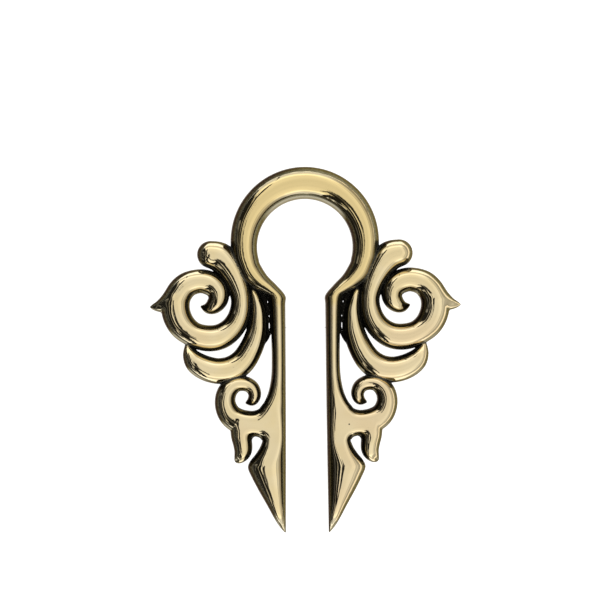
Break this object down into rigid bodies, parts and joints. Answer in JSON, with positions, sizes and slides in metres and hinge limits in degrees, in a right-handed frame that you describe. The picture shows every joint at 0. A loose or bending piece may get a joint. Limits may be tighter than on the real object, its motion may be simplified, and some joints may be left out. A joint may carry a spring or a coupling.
{
  "type": "keyhole ear weight",
  "caption": "Cast brass ear weight in keyhole form: a ring with a slot below it for a stretched lobe, and pointed legs with scrollwork wings.",
  "frame": {"origin": "middle of the length and width, on the flat back", "axes": "+Y towards the top of the ring, with the points of the legs at -Y; +Z out of the domed front; X across the wings"},
  "size_m": [0.0488, 0.0572, 0.005],
  "materials": {
    "brass": "polished crowns, with dark patina in the crevices and on the steep sides"
  },
  "bodies": {
    "root": {"ear_weight": "brass"}
  },
  "joints": []
}
